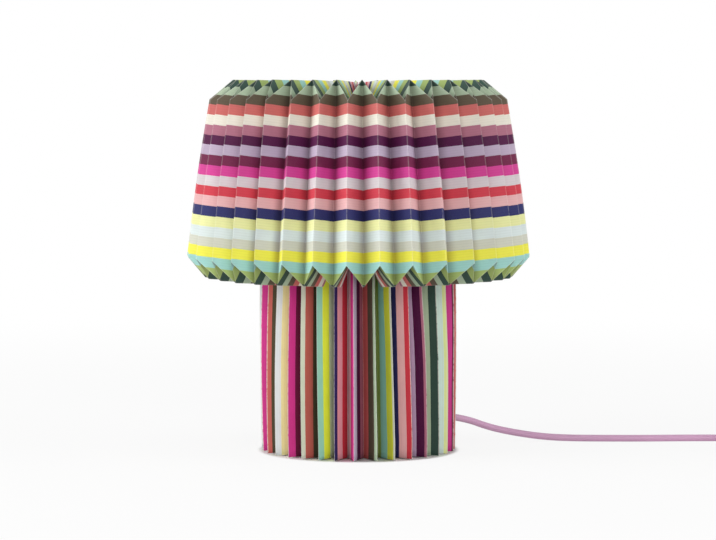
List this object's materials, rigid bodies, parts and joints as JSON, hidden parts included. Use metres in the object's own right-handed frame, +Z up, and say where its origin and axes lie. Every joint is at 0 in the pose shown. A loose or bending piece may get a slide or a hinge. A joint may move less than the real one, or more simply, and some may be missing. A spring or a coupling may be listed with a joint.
{
  "type": "pleated paper table lamp",
  "caption": "Table lamp with a folded paper shade on a wire carrier over a pleated paper column, with screw-in bulb, inline rocker switch and coiled mains cord.",
  "frame": {"origin": "on the floor, at the axis of the shade and column", "axes": "+Z up along the lamp's axis; the pictured front faces -Y; the cord leaves at the back right, towards +X"},
  "size_m": [0.6576, 0.329, 0.351],
  "materials": {
    "striped_paper": "matte",
    "steel_wire": "satin",
    "white_wire": "satin",
    "core_board": "matte",
    "felt": "matte",
    "board": "matte",
    "zinc_steel": "satin",
    "holder_plastic": "satin",
    "ceramic": "satin",
    "contact_brass": "satin",
    "bulb_metal": "satin",
    "bulb_black": "gloss",
    "bulb_white": "satin",
    "bulb_opal": "satin",
    "lilac_cord": "satin",
    "lilac_fitting": "satin",
    "gland_plastic": "satin",
    "tie_plastic": "satin",
    "switch_plastic": "satin",
    "plug_plastic": "satin",
    "pin_metal": "polished",
    "sleeve_plastic": "satin"
  },
  "bodies": {
    "lamp_base": {"pleated_column": "striped_paper", "core_tube": "core_board", "felt_pad": "felt", "base_disc": "board", "ballast_plate": "zinc_steel", "ballast_screws": "zinc_steel", "top_disc": "board", "threaded_tube": "zinc_steel", "tube_washers": "zinc_steel", "tube_nuts": "zinc_steel", "holder_cap": "holder_plastic", "holder_skirt": "holder_plastic", "holder_insulator": "ceramic", "holder_shell": "contact_brass", "centre_contact": "contact_brass", "lower_clamp_ring": "holder_plastic", "upper_clamp_ring": "holder_plastic", "carrier_plate": "white_wire", "carrier_arms": "white_wire", "carrier_hoop": "white_wire", "cord_gland": "lilac_fitting", "gland_nut": "gland_plastic", "inner_lead": "lilac_cord", "cord_lead": "lilac_cord", "switch_shell_lower": "switch_plastic", "switch_shell_upper": "switch_plastic", "rocker_pin": "zinc_steel", "switch_screws": "zinc_steel", "switch_terminals": "contact_brass", "cord_link": "lilac_cord", "cord_coil": "lilac_cord", "cord_tie": "tie_plastic", "cord_tail": "lilac_cord", "plug_boot": "lilac_fitting", "plug_body": "plug_plastic", "plug_pins": "pin_metal", "pin_sleeves": "sleeve_plastic"},
    "shade": {"shade_panel_1": "striped_paper", "shade_panel_2": "striped_paper", "shade_panel_3": "striped_paper", "shade_panel_4": "striped_paper", "gather_ring": "steel_wire"},
    "bulb": {"bulb_contact": "contact_brass", "bulb_insulator": "bulb_black", "bulb_cap": "bulb_metal", "bulb_collar": "bulb_white", "bulb_globe": "bulb_opal"},
    "rocker": {"switch_rocker": "switch_plastic"}
  },
  "joints": [
    {"name": "shade_lift", "type": "slide", "parent": "lamp_base", "child": "shade", "axis": [0, 0, 1], "range_m": [0, 0.19]},
    {"name": "bulb_out", "type": "slide", "parent": "lamp_base", "child": "bulb", "axis": [0, 0, 1], "range_m": [0, 0.014]},
    {"name": "rocker_tilt", "type": "hinge", "parent": "lamp_base", "child": "rocker", "pos_m": [0.381, -0.025, 0.011], "axis": [1, 0, 0], "range_deg": [-16, 0]}
  ]
}
